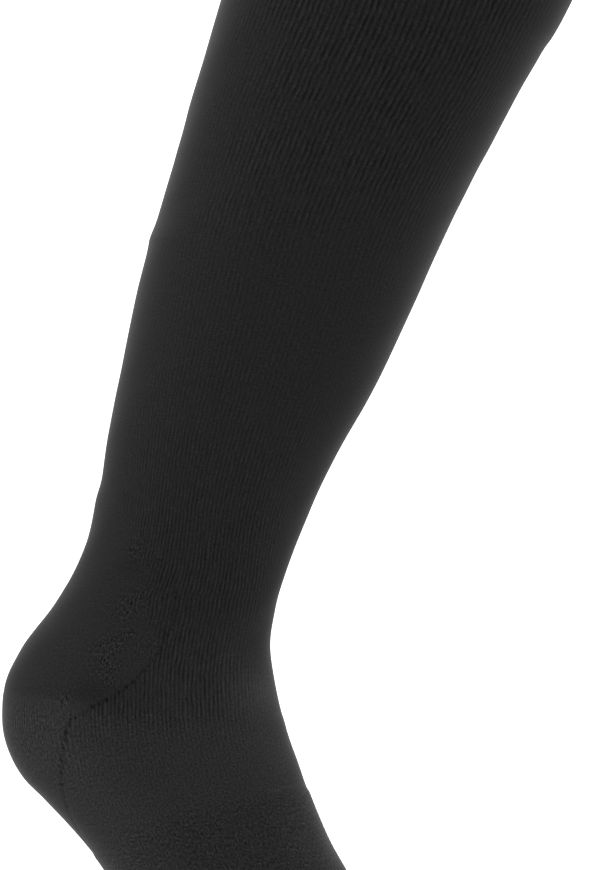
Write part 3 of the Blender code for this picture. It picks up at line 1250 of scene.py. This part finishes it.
@dataclass(frozen=True)
class KnittedFace:
    """How a knitted face is drawn: its stitches, furrows, glints, specks and floats.

    The clouds are noises over the wales and courses.  A ramp turns a cloud, or a distance in
    wales, into a strength, and a gain is how far an effect lightens.  The furrows' dark is painted
    shade, and the glints are painted highlights.
    """

    wander_cloud: Cloud = Cloud(0.35, 0.16)
    wander_reach: float = 0.5
    area_cloud: Cloud = Cloud(0.13, 0.09)
    area_ramp: Ramp = Ramp(0.36, 0.62, 0.75, 1.15)
    furrow_cloud: Cloud = Cloud(1.71, 0.27)
    furrow_ramp: Ramp = Ramp(0.35, 0.62, 0.5, 1.0)
    furrow_power: float = 1.3
    furrow_mean: float = 0.18
    dash_cloud: Cloud = Cloud(1.37, 0.3)
    dash_ramp: Ramp = Ramp(0.42, 0.68)
    glint_place: float = 0.16
    glint_ramp: Ramp = Ramp(0.04, 0.26, 1.0, 0.0)
    stitch_lean: float = 0.7
    stitch_power: float = 0.6
    stitch_gain: float = 0.14
    stitch_level: float = 0.935
    grain_cloud: Cloud = Cloud(2.3, 1.25)
    grain_roughness: float = 0.12
    grain_height: float = 0.5
    patch_cloud: Cloud = Cloud(0.22, 0.2)
    patch_ramp: Ramp = Ramp(0.36, 0.6, 0.6, 1.1)
    speck_cloud: Cloud = Cloud(2.3, 1.0, 2.0)
    speck_ramp: Ramp = Ramp(0.3, 0.7, -0.5, 0.5)
    speck_gain: float = 1.35
    speck_height: float = 3.0
    drift_cloud: Cloud = Cloud(0.4, 0.5)
    drift_reach: float = 1.8
    stray_cloud: Cloud = Cloud(2.3, 0.11, 0.0)
    stray_reach: float = 1.6
    floats_to_wale: float = 0.5
    float_ramp: Ramp = Ramp(0.18, 0.42, 1.0, 0.0)
    float_cloud: Cloud = Cloud(4.3, 3.1, 0.0)
    strength_ramp: Ramp = Ramp(0.25, 0.7)
    float_gain: float = -0.3
    float_height: float = -1.5
    between_gain: float = 0.7
    cap_pitch: float = 1.27
    cap_ramp: Ramp = Ramp(0.25, 0.7)
    cap_gain: float = 0.5

    def group(self) -> bpy.types.NodeTree:
        """Build the shader group.

        Returns:
            The group, which puts out a colour, a roughness and a height.
        """
        inputs = (
            "Map", "Grey", "Wales", "Courses", "Tone", "Ribbing", "Bobbles", "Floats", "Float Row",
            "Cap", "Back Distance", "Furrow Shade", "Glint", "Grain", "Roughness",
        )
        outputs = ("Color", "Roughness", "Height")
        tree, given, leave = new_group("knitted_face", inputs, outputs)
        split = tree.nodes.new("ShaderNodeSeparateXYZ")
        given["Map"].feed(split.inputs["Vector"])
        wale = Signal(tree, split.outputs["X"]) * given["Wales"]
        course = Signal(tree, split.outputs["Y"]) * given["Courses"]
        wander = self.wander_cloud.over(wale, course)
        wale = wale + wander.scaled(self.wander_reach, -self.wander_reach / 2)
        centred = wale.centred()
        aside = centred.size() * 2.0

        # A furrow lies between two wales, and its dark is painted shade.  It is deeper in some
        # stretches and in some areas.
        plainly = self.area_ramp.of(self.area_cloud.over(wale, course))
        stretch = self.furrow_cloud.over((wale + 0.5).number(), course)
        deep = self.furrow_ramp.of(stretch) * plainly
        furrow = (aside.math("POWER", self.furrow_power) - self.furrow_mean) * deep

        # One leg of each stitch gets a painted highlight, as if it caught the light, in dashes a
        # few courses long.
        dash = self.dash_cloud.over(wale.number(), course)
        glint = self.glint_ramp.of((centred + self.glint_place).size())
        glint = glint * self.dash_ramp.of(dash) * plainly

        # The two legs of each stitch lean together like a V.
        leg = (aside * math.pi).math("SINE").math("POWER", self.stitch_power)
        wave = (aside.scaled(self.stitch_lean, course) * FULL_TURN).math("COSINE")
        stitch = leg * wave.scaled(0.5, 0.5)
        grain = self.grain_cloud.over(wale, course)

        # Terry bobbles show through as specks that gather in patches.
        gathered = self.patch_ramp.of(self.patch_cloud.over(wale, course))
        specks = self.speck_ramp.of(self.speck_cloud.over(wale, course)) * gathered
        bobbles = specks * given["Bobbles"]

        # Floats lie across two wales, each row half a float beside the last.
        float_row = given["Float Row"] + self.drift_cloud.over(wale, course) * self.drift_reach
        row = float_row.number()
        half = (row * 0.5).math("FRACT")
        stray = self.stray_cloud.over(row, wale)
        across = stray.scaled(self.stray_reach, wale.scaled(self.floats_to_wale, half))
        wide = self.float_ramp.of(across.centred().size())
        strength = self.strength_ramp.of(self.float_cloud.over(across.number(), row))
        level = (float_row.math("FRACT") * FULL_TURN).math("COSINE") * -1.0
        floats = wide * level * strength * given["Floats"]
        between = specks * given["Floats"]

        # The heel cap has wales of its own, finer than the leg's.
        ridge = (given["Back Distance"] * (1.0 / self.cap_pitch) * FULL_TURN).math("SINE")
        cap_wales = ridge * self.cap_ramp.of(dash) * given["Cap"]

        # The furrows' painted shade and the glints' painted highlights go into the colour here.
        shade = furrow * given["Ribbing"] * given["Furrow Shade"]
        glint = glint * given["Ribbing"] * given["Glint"]
        lit = shade.scaled(-1.0, 1.0) * given["Tone"] * (glint + 1.0)
        lit = lit * stitch.scaled(self.stitch_gain, self.stitch_level)
        lit = lit * ((grain - 0.5) * (given["Grain"] * 2.0) + 1.0)
        lit = lit * bobbles.scaled(self.speck_gain, 1.0)
        lit = lit * floats.scaled(self.float_gain, 1.0)
        lit = lit * between.scaled(self.between_gain, 1.0)
        lit = lit * cap_wales.scaled(self.cap_gain, 1.0)
        grey = lit * given["Grey"]
        mix = tree.nodes.new("ShaderNodeCombineColor")
        for channel in ("Red", "Green", "Blue"):
            grey.feed(mix.inputs[channel])
        tree.links.new(mix.outputs["Color"], leave.inputs["Color"])

        smoothest = given["Roughness"] - self.grain_roughness / 2
        grain.scaled(self.grain_roughness, smoothest).feed(leave.inputs["Roughness"])
        height = floats.scaled(self.float_height, grain.scaled(self.grain_height, stitch))
        bobbles.scaled(self.speck_height, height).feed(leave.inputs["Height"])
        return tree


@dataclass(frozen=True)
class GoreEyelets:
    """How the uneven eyelets of the gore lines are drawn: they and the groove between them are
    painted dark, as painted shade in the holes and in the groove.

    Attributes:
        pitch: The distance between two eyelets, in millimetres.
        opening: How an eyelet's painted shade fades out from its middle, for a size of 1.
        stray_cloud: The noise that moves and sizes the eyelets.
        stray_reach: How far they move along the line, in millimetres.
        size_ramp: How the same noise sets their size.
        depth_cloud: The noise that sets how dark they are.
        depth_ramp: How it does so.
        groove_ramp: How dark the painted shade in the groove between them is, across the line.
    """

    pitch: float = 2.7
    opening: Ramp = Ramp(0.2, 0.95, 1.0, 0.0)
    stray_cloud: Cloud = Cloud(3.7, 1.9, 0.0)
    stray_reach: float = 1.6
    size_ramp: Ramp = Ramp(0.3, 0.7, 0.75, 1.30)
    depth_cloud: Cloud = Cloud(2.9, 5.3, 0.0)
    depth_ramp: Ramp = Ramp(0.3, 0.6, 0.12, 0.62)
    groove_ramp: Ramp = Ramp(0.1, 1.5, 0.12, 0.0)

    def group(self) -> bpy.types.NodeTree:
        """Build the shader group.

        Returns:
            The group, which darkens a colour where the eyelets are.
        """
        inputs = ("Color", "Gore Along", "Gore Across", "Gore Plain")
        tree, given, leave = new_group("gore_eyelets", inputs, ("Color",))
        across = given["Gore Across"]
        count = given["Gore Along"].math("DIVIDE", self.pitch)
        number = count.number()
        stray = self.stray_cloud.over(number, number)
        moved = stray.scaled(self.stray_reach, -self.stray_reach / 2)
        down = count.centred() * self.pitch + moved
        away = across.scaled(across, down * down).math("SQRT")
        hole = self.opening.of(away.math("DIVIDE", self.size_ramp.of(stray)))
        hole = hole * self.depth_ramp.of(self.depth_cloud.over(number, number))
        # The painted shade of the eyelets and the groove darkens the colour towards black.
        dark = hole.math("MAXIMUM", self.groove_ramp.of(across)) * given["Gore Plain"]
        mix = tree.nodes.new("ShaderNodeMix")
        mix.data_type = "RGBA"
        colours = [socket for socket in mix.inputs if socket.type == "RGBA"]
        colours[1].default_value = (0.0, 0.0, 0.0, 1.0)
        dark.feed(mix.inputs["Factor"])
        given["Color"].feed(colours[0])
        shown = next(socket for socket in mix.outputs if socket.type == "RGBA")
        tree.links.new(shown, leave.inputs["Color"])
        return tree


class ProfileRow(NamedTuple):
    """One row of a zone's wall.

    Attributes:
        station: The course that the row starts from.
        lift: How far it stands off the course, in millimetres.
        along: How far it moves down the cloth, in millimetres.
        relief: How much of the zone's relief it carries, from 0 to 1.
        closing: How far it is drawn in to the course's middle, from 0 to 1.
        push: How far it is pushed out of the toe's end, in millimetres.
    """

    station: float
    lift: float = 0.0
    along: float = 0.0
    relief: float = 0.0
    closing: float = 0.0
    push: float = 0.0


@dataclass
class KnitZone:
    """A knitted zone between two named sections.

    Attributes:
        node: The frame's node that the zone stands for.
        first: The section at its upper end.
        last: The section at its lower end.
        finish: The yarn.
        slot: The record's slot.
        samples: Columns of points to a wale.
        row_pitch: Distance between courses of points, in millimetres.
        reliefs: What shapes the outside.
        thickness: How far the outside's mean face stands off the course lines.
        inner_pitch: Distance between the inside's courses of points.
        relaxed_girth: The girth before the stocking is drawn on, as a share.
        girth_samples: How many girths the flat cut is worked out from.
        fold_radius: The radius of the rolled top edge, or 0 where there is none.
        fold_steps: The facets of that edge.
        cap_rows: The rows of the toe's rounded end, or 0 where there is none.
        cap_rise: How far the rounded end stands out.
        cap_start: The slope at which it starts.
    """

    node: str
    first: str
    last: str
    finish: YarnFinish
    slot: Slot
    samples: int
    row_pitch: float
    reliefs: tuple[Relief, ...] = ()
    thickness: float = 0.35
    inner_pitch: float = 12.0
    relaxed_girth: float = 0.78
    girth_samples: int = 25
    fold_radius: float = 0.0
    fold_steps: int = 6
    cap_rows: int = 0
    cap_rise: float = 3.7
    cap_start: float = math.radians(30.0)

    def outer_rows(self, start: float, end: float) -> list[ProfileRow]:
        """List the outside's rows.

        Args:
            start: The station of the zone's top.
            end: The station of its bottom.

        Returns:
            The rows from the zone's top to its bottom.
        """
        count = max(2, round((end - start) / self.row_pitch))
        stations = np.linspace(start, end, count + 1)
        rows = [ProfileRow(station, relief=1.0) for station in stations]
        return rows + [self.cap_row(end, 0.0, step) for step in range(1, self.cap_rows + 1)]

    def cap_row(self, end: float, lift: float, step: int) -> ProfileRow:
        """Place one row of the toe's rounded end, which goes on from the slope before it.

        Args:
            end: The tube's last station.
            lift: How far the row stands off the course lines.
            step: Which row it is, counted from the slope.

        Returns:
            The row.
        """
        turn = self.cap_start + step / self.cap_rows * (math.pi / 2 - self.cap_start)
        left = math.cos(turn) / math.cos(self.cap_start)
        risen = (math.sin(turn) - math.sin(self.cap_start)) / (1.0 - math.sin(self.cap_start))
        relief = left if lift == 0.0 else 0.0
        push = (self.cap_rise + lift) * risen
        return ProfileRow(end, lift, relief=relief, closing=1.0 - left, push=push)

    def inner_rows(self, start: float, end: float) -> list[ProfileRow]:
        """List the inside's rows.

        The inside of the toe's rounded end has every other row of the outside.

        Args:
            start: The station of the zone's top.
            end: The station of its bottom.

        Returns:
            The rows from the zone's bottom to its top.
        """
        rows = [self.cap_row(end, -WALL, step) for step in range(self.cap_rows, 0, -2)]
        count = max(2, round((end - start) / self.inner_pitch))
        stations = np.linspace(end, start, count + 1)
        return rows + [ProfileRow(station, lift=-WALL) for station in stations]

    def fold_rows(self, start: float, proud: float) -> list[ProfileRow]:
        """List the rows of the rolled top edge.

        Args:
            start: The station that the roll is centred on.
            proud: How far the roll's outside stands off the course lines.

        Returns:
            The rows from the inside over to the outside.
        """
        if self.fold_radius == 0.0:
            return []
        middle = proud - self.fold_radius
        rows = []
        for step in range(1, self.fold_steps):
            turn = math.pi * (1.0 - step / self.fold_steps)
            relief = (1.0 + math.cos(turn)) / 2
            lift = middle + self.fold_radius * math.cos(turn) - proud * relief
            down = -self.fold_radius * math.sin(turn)
            rows.append(ProfileRow(start, lift, along=down, relief=relief))
        return rows

    def profile(self, form: StockingForm) -> list[ProfileRow]:
        """List all rows of the wall.

        Args:
            form: The tube's form.

        Returns:
            The rows in order round the wall's section, with the first one again last.
        """
        start = form.station(self.first) + self.fold_radius
        end = form.station(self.last)
        proud = 2 * self.fold_radius - WALL if self.fold_radius else 0.0
        outside = self.outer_rows(start, end)
        inside = self.inner_rows(start, end)
        return outside + inside + self.fold_rows(start, proud) + outside[:1]

    def grid(self, form: StockingForm, run: WaleRun, rows: list[ProfileRow]) -> ClothGrid:
        """Lay the zone out as a table of places.

        Args:
            form: The tube's form.
            run: How the wales run.
            rows: The wall's rows.

        Returns:
            The table.
        """
        columns = WALES * self.samples
        wales = np.arange(columns + 1) / self.samples
        shares = np.array([run.shares(row.station, wales) for row in rows])
        from_back = np.abs(shares - np.rint(shares))
        girths = np.array([form.girth(row.station) for row in rows])[:, None]
        girths = np.broadcast_to(girths, shares.shape)
        stations = np.array([row.station for row in rows])[:, None]
        return ClothGrid(
            np.broadcast_to(stations, shares.shape),
            np.broadcast_to(wales, shares.shape),
            from_back,
            from_back * girths,
            girths,
        )

    def places(
        self, form: StockingForm, run: WaleRun, rows: list[ProfileRow], grid: ClothGrid
    ) -> np.ndarray:
        """Find every point of the wall.

        Args:
            form: The tube's form.
            run: How the wales run.
            rows: The wall's rows.
            grid: The same rows as a table of places.

        Returns:
            A point for each row and column, in millimetres.
        """
        lift = sum(relief.lift(grid) for relief in self.reliefs)
        lift = np.broadcast_to(lift, grid.stations.shape) + self.thickness
        columns = grid.wales.shape[1]
        points = np.zeros((len(rows), columns, 3))
        both_ends = np.array([0.0, FRONT])
        forward = form.course_line(form.stations[-1], both_ends).mean(axis=0)
        forward -= form.course_line(form.stations[-2], both_ends).mean(axis=0)
        forward /= np.linalg.norm(forward)
        for index, row in enumerate(rows):
            shares = run.shares(row.station, grid.wales[index])
            place, outward, down = form.course_frame(row.station, shares)
            height = row.lift + lift[index] * row.relief
            place = place + outward * height[:, None] + down * row.along
            if row.closing or row.push:
                middle = place.mean(axis=0)
                place = place + (middle - place) * row.closing + forward * row.push
            points[index] = place
        return points

    def mesh(self, form: StockingForm, run: WaleRun) -> bpy.types.Mesh:
        """Roll one sheet of cloth into the zone's closed wall.

        Args:
            form: The tube's form.
            run: How the wales run.

        Returns:
            The mesh, with the knit's map and the attributes that the yarn reads.
        """
        rows = self.profile(form)
        grid = self.grid(form, run, rows)
        points = self.places(form, run, rows, grid)
        columns = grid.wales.shape[1]
        sheet = bmesh.new()
        sheet.loops.layers.uv.new(KNIT_MAP)
        bmesh.ops.create_grid(
            sheet, x_segments=columns - 1, y_segments=len(rows) - 1, size=0.5, calc_uvs=True
        )
        data = bpy.data.meshes.new(self.node + "_cloth")
        sheet.to_mesh(data)
        sheet.free()

        flat = np.zeros(len(data.vertices) * 3)
        data.vertices.foreach_get("co", flat)
        flat = flat.reshape(-1, 3) + 0.5
        column = np.rint(flat[:, 0] * (columns - 1)).astype(int)
        row = np.rint(flat[:, 1] * (len(rows) - 1)).astype(int)
        data.vertices.foreach_set("co", (points[row, column] * MM).ravel())
        self.map_knit(data, form, grid, (row, column))
        self.mark_cloth(data, form, grid, (row, column))

        wall = bmesh.new()
        wall.from_mesh(data)
        bmesh.ops.remove_doubles(wall, verts=wall.verts, dist=WELD_DISTANCE)
        loose = [edge for edge in wall.edges if not edge.link_faces]
        bmesh.ops.delete(wall, geom=loose, context="EDGES")
        bmesh.ops.recalc_face_normals(wall, faces=wall.faces)
        wall.to_mesh(data)
        wall.free()
        data.shade_smooth()
        data.set_sharp_from_angle(angle=SHARP_ANGLE)
        return data

    def map_knit(
        self, data: bpy.types.Mesh, form: StockingForm, grid: ClothGrid, at: tuple[np.ndarray, ...]
    ) -> None:
        """Write the knit's map: U round the tube and V along it, both from 0 to 1.

        Args:
            data: The mesh.
            form: The tube's form.
            grid: The cloth's places.
            at: The row and the column of the place of each vertex.
        """
        layer = data.uv_layers[KNIT_MAP]
        corners = np.zeros(len(data.loops), dtype=int)
        data.loops.foreach_get("vertex_index", corners)
        u = grid.wales[at] / WALES
        v = 1.0 - grid.stations[at] / form.stations[-1]
        layer.data.foreach_set("uv", np.stack((u[corners], v[corners]), axis=1).ravel())

    def mark_cloth(
        self, data: bpy.types.Mesh, form: StockingForm, grid: ClothGrid, at: tuple[np.ndarray, ...]
    ) -> None:
        """Write the attributes that the yarn's material reads.

        Args:
            data: The mesh.
            form: The tube's form.
            grid: The cloth's places.
            at: The row and the column of the place of each vertex.
        """
        covers = {"bobbles": Bobbles, "floats": BandFloats, "cap": CapWales}
        band = BandFloats(form.station("band_line"), form.station("band_end"))
        run, across = GORES[0].place(grid)
        plain = along(GORES[0].plainness, grid.stations)
        for gore in GORES[1:]:
            other_run, other = gore.place(grid)
            run = np.where(other < across, other_run, run)
            plain = np.where(other < across, along(gore.plainness, grid.stations), plain)
            across = np.minimum(other, across)
        values = {
            # tone holds the yarns' own tones together with the painted light and shade of Shading.
            "tone": Shading().shade(grid) * LEG_GREY / self.finish.grey,
            "float_row": band.rows(grid),
            # ribbing, beside the ribs' strength, also sets how strongly the furrows' painted shade
            # and the glints' painted highlights show.
            "ribbing": Ribs().strength(grid),
            "back_distance": grid.back_distance,
            # The gore marks place the painted shade of the eyelets and of their groove.
            "gore_along": run,
            "gore_across": across,
            "gore_plain": plain,
        }
        for name, kind in covers.items():
            shown = [relief.cover(grid) for relief in self.reliefs if isinstance(relief, kind)]
            values[name] = sum(shown, np.zeros(grid.stations.shape))
        for name, table in values.items():
            layer = data.attributes.new(name, "FLOAT", "POINT")
            layer.data.foreach_set("value", table[at].astype(np.float32))

    def flat_cut(self, form: StockingForm) -> tuple[tuple[float, float], float]:
        """Work out the zone's flat size as knitted, before it is stretched on.

        Args:
            form: The tube's form.

        Returns:
            The flat width and length, and the flat area, in metres.
        """
        start, end = form.station(self.first), form.station(self.last)
        stations = np.linspace(start, end, self.girth_samples)
        girths = np.array([form.girth(station) for station in stations]) * MM
        girths *= self.relaxed_girth
        length = (end - start) * MM
        return (float(girths.max()), length), float(girths.mean() * length)

    def build(
        self, form: StockingForm, run: WaleRun, material: bpy.types.Material
    ) -> bpy.types.Object:
        """Args:
            form: The tube's form.
            run: How the wales run.
            material: The yarn's material.

        Returns:
            The piece.
        """
        data = self.mesh(form, run)
        data.materials.append(material)
        piece = bpy.data.objects.new(self.node + "_cloth", data)
        bpy.context.scene.collection.objects.link(piece)
        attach(piece, "root")
        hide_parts(self.node)
        flat, area = self.flat_cut(form)
        return piece


@dataclass
class Studio:
    """A pale floor, soft white light all round and a level camera at the side.

    Attributes:
        view_x: The middle of the view, in millimetres.
        view_z: The view's height.
        distance: How far the camera stands from the stocking's middle plane.
        lens: The camera's focal length.
        sensor: The width of its sensor, in millimetres as the focal length is.
        clip_end: How far it sees, in metres.
        floor_z: The floor's height.
        floor_radius: The floor's radius.
        floor_sides: How many sides the round floor has.
        floor_grey: The floor's colour, linear.
        floor_roughness: The floor's roughness.
        sky: The sky's strength.
        slope: How much it gains towards the shin's side; below 0 it loses.
        backlight: How much it gains behind the stocking.
    """

    view_x: float = -54.92
    view_z: float = -215.6
    distance: float = 1396.0
    lens: float = 150.0
    sensor: float = 36.0
    clip_end: float = 20.0
    floor_z: float = -515.0
    floor_radius: float = 850.0
    floor_sides: int = 96
    floor_grey: float = 0.74
    floor_roughness: float = 0.9
    sky: float = 1.2
    slope: float = -0.12
    backlight: float = 0.5

    def camera(self) -> bpy.types.Object:
        """Set the scene's camera, level and square to the stocking's side.

        Returns:
            The camera.
        """
        data = bpy.data.cameras.new("side_view")
        data.lens = self.lens
        data.sensor_width = self.sensor
        data.clip_end = self.clip_end
        camera = bpy.data.objects.new("side_view", data)
        camera.location = Vector((self.view_x, -self.distance, self.view_z)) * MM
        camera.rotation_euler = (math.pi / 2, 0.0, 0.0)
        bpy.context.scene.collection.objects.link(camera)
        bpy.context.scene.camera = camera
        return camera

    def floor(self) -> bpy.types.Object:
        """Lay a round pale floor just under the toe.

        Returns:
            The floor.
        """
        middle = Vector((self.view_x, 0.0, self.floor_z)) * MM
        disc = bmesh.new()
        bmesh.ops.create_circle(
            disc, cap_ends=True, segments=self.floor_sides, radius=self.floor_radius * MM
        )
        bmesh.ops.translate(disc, verts=disc.verts, vec=middle)
        data = bpy.data.meshes.new("floor")
        disc.to_mesh(data)
        disc.free()
        material = bpy.data.materials.new("pale_floor")
        material.use_nodes = True
        shader = material.node_tree.nodes["Principled BSDF"]
        grey = self.floor_grey
        shader.inputs["Base Color"].default_value = (grey, grey, grey, 1.0)
        shader.inputs["Roughness"].default_value = self.floor_roughness
        data.materials.append(material)
        floor = bpy.data.objects.new("floor", data)
        bpy.context.scene.collection.objects.link(floor)
        return floor

    def light(self) -> None:
        """Light the scene with a white sky, a little brighter behind the stocking."""
        scene = bpy.context.scene
        scene.view_settings.view_transform = "Standard"
        world = bpy.data.worlds.new("white_sky")
        world.use_nodes = True
        tree = world.node_tree
        background = tree.nodes["Background"]
        background.inputs["Color"].default_value = (1.0, 1.0, 1.0, 1.0)
        direction = tree.nodes.new("ShaderNodeTexCoord")
        parts = tree.nodes.new("ShaderNodeSeparateXYZ")
        tree.links.new(direction.outputs["Generated"], parts.inputs["Vector"])
        level = Signal(tree, parts.outputs["X"]).scaled(self.slope, self.sky)
        behind = Signal(tree, parts.outputs["Y"]).math("MAXIMUM", 0.0)
        behind.scaled(self.backlight, level).feed(background.inputs["Strength"])
        scene.world = world


@dataclass
class Stocking:
    """The whole stocking: its form, its yarns and its knitted zones."""

    form: StockingForm = field(default_factory=StockingForm)
    leg_yarn: YarnFinish = YarnFinish("leg_yarn", grey=LEG_GREY)
    cuff_yarn: YarnFinish = YarnFinish("cuff_yarn", grey=LEG_GREY)
    foot_yarn: YarnFinish = YarnFinish("foot_yarn", grey=0.0170, sheen=0.18, grain=0.75)
    band_yarn: YarnFinish = YarnFinish("band_yarn", grey=0.0170, sheen=0.18, grain=0.6)

    def zones(self) -> tuple[KnitZone, ...]:
        """Lay out the zones.

        Returns:
            The zones from the cuff to the toe.
        """
        base = (Ribs(), Unevenness(), Fullness())
        calf_line = self.form.station("calf_line")
        cuff_low = self.form.station("cuff_low")
        band = self.form.station("band_line"), self.form.station("band_end")
        cuff_edge = Thickening(first=-12.0, last=cuff_low + 2.5, height=0.6, rise=8.0)
        calf_ring = Swell(calf_line, height=0.32, half_width=2.8)
        firm_band = Thickening(*band, height=0.4, rise=3.0)
        floats = BandFloats(*band)
        heel_lines = (UPPER_GORE, LOWER_GORE, HEEL_CAP_LINE)
        return (
            KnitZone("cuff", "cuff_top", "cuff_low", self.cuff_yarn, Slot.CUFF,
                     samples=8, row_pitch=2.0, reliefs=(*base, cuff_edge), fold_radius=1.05),
            KnitZone("calf", "cuff_low", "calf_line", self.leg_yarn, Slot.LEG,
                     samples=8, row_pitch=2.8, reliefs=(*base, cuff_edge, calf_ring)),
            KnitZone("leg", "calf_line", "ankle_high", self.leg_yarn, Slot.LEG,
                     samples=8, row_pitch=2.8, reliefs=(*base, calf_ring)),
            KnitZone("ankle", "ankle_high", "heel_line", self.leg_yarn, Slot.LEG,
                     samples=6, row_pitch=1.0,
                     reliefs=(*base, UPPER_GORE, HEEL_CAP_LINE, CapWales(), Bobbles())),
            KnitZone("heel", "heel_line", "band_line", self.foot_yarn, Slot.FOOT,
                     samples=6, row_pitch=0.9, reliefs=(*base, *heel_lines, CapWales(), floats)),
            KnitZone("arch_band", "band_line", "band_end", self.band_yarn, Slot.BAND,
                     samples=4, row_pitch=0.43, reliefs=(*base, firm_band, floats)),
            KnitZone("foot", "band_end", "toe_line", self.foot_yarn, Slot.FOOT,
                     samples=6, row_pitch=2.8, reliefs=base),
            KnitZone("toe", "toe_line", "toe_tip", self.foot_yarn, Slot.FOOT,
                     samples=6, row_pitch=1.6, reliefs=(*base, TOE_LINK), cap_rows=8),
        )

    def build(self) -> list[bpy.types.Object]:
        """Knit every zone and report each piece.

        Returns:
            The pieces from the cuff to the toe.
        """
        run = WaleRun(self.form)
        stitches, eyelets = KnittedFace().group(), GoreEyelets().group()
        yarns = {}
        pieces = []
        for zone in self.zones():
            if zone.finish.name not in yarns:
                yarns[zone.finish.name] = zone.finish.material(stitches, eyelets)
            piece = zone.build(self.form, run, yarns[zone.finish.name])
            LOG.info("%s: %d faces", piece.name, len(piece.data.polygons))
            pieces.append(piece)
        return pieces


def main() -> None:
    """Build the studio and the stocking."""
    logging.basicConfig(level=logging.INFO, format="%(name)s: %(message)s")
    studio = Studio()
    studio.camera()
    studio.floor()
    studio.light()
    Stocking().build()


if __name__ == "__main__":
    main()
